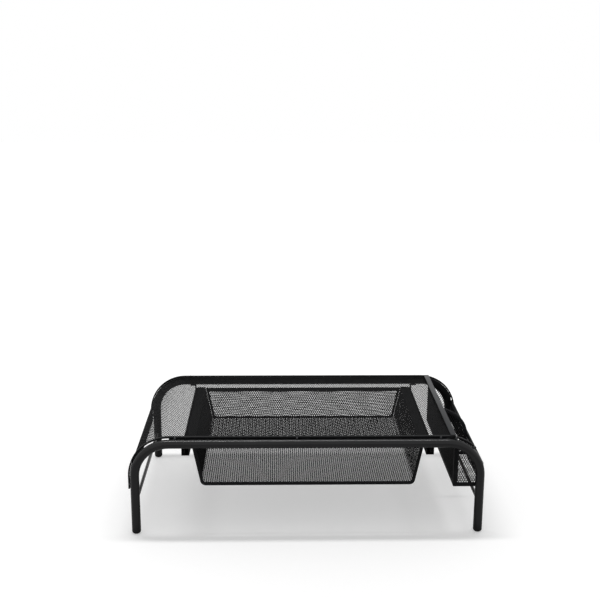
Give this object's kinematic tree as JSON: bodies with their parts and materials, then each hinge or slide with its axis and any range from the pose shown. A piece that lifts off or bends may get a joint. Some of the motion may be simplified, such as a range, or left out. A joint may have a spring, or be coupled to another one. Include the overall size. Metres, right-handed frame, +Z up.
{
  "type": "mesh monitor stand",
  "caption": "Black steel monitor stand with bent tube legs, a wrapped mesh deck, an open-front sliding mesh drawer and a side pocket with a divider.",
  "frame": {"origin": "centre of the footprint, on the surface that the feet stand on", "axes": "+X to the user's right along the deck's length, +Y to the back, +Z up; the drawer opens towards -Y and the pocket is at +X"},
  "size_m": [0.5156, 0.292, 0.1478],
  "materials": {
    "coated_steel": "satin",
    "coated_mesh": "satin",
    "foot_plastic": "matte"
  },
  "bodies": {
    "stand": {"front_arch_tube": "coated_steel", "rear_arch_tube": "coated_steel", "front_left_foot_plug": "foot_plastic", "front_right_foot_plug": "foot_plastic", "rear_left_foot_plug": "foot_plastic", "rear_right_foot_plug": "foot_plastic", "left_side_rod": "coated_steel", "right_side_rod": "coated_steel", "front_edge_strip": "coated_steel", "rear_edge_strip": "coated_steel", "deck_mesh": "coated_mesh", "skirt_hem": "coated_steel", "front_weld_studs": "coated_steel", "rear_weld_studs": "coated_steel", "front_cross_bar": "coated_steel", "rear_cross_bar": "coated_steel", "left_drawer_rail": "coated_steel", "right_drawer_rail": "coated_steel", "pocket_inner_wall": "coated_mesh", "pocket_floor": "coated_mesh", "pocket_front_panel": "coated_mesh", "pocket_divider": "coated_mesh", "pocket_back_panel": "coated_mesh", "pocket_outer_panel": "coated_mesh", "pocket_outer_hem": "coated_steel"},
    "drawer": {"drawer_tray": "coated_mesh", "drawer_front_lip": "coated_steel", "drawer_back": "coated_mesh", "drawer_back_hem": "coated_steel", "drawer_left_runner": "coated_steel", "drawer_right_runner": "coated_steel"}
  },
  "joints": [
    {"name": "drawer_slide", "type": "slide", "parent": "stand", "child": "drawer", "axis": [0, -1, 0], "range_m": [0, 0.2]}
  ]
}
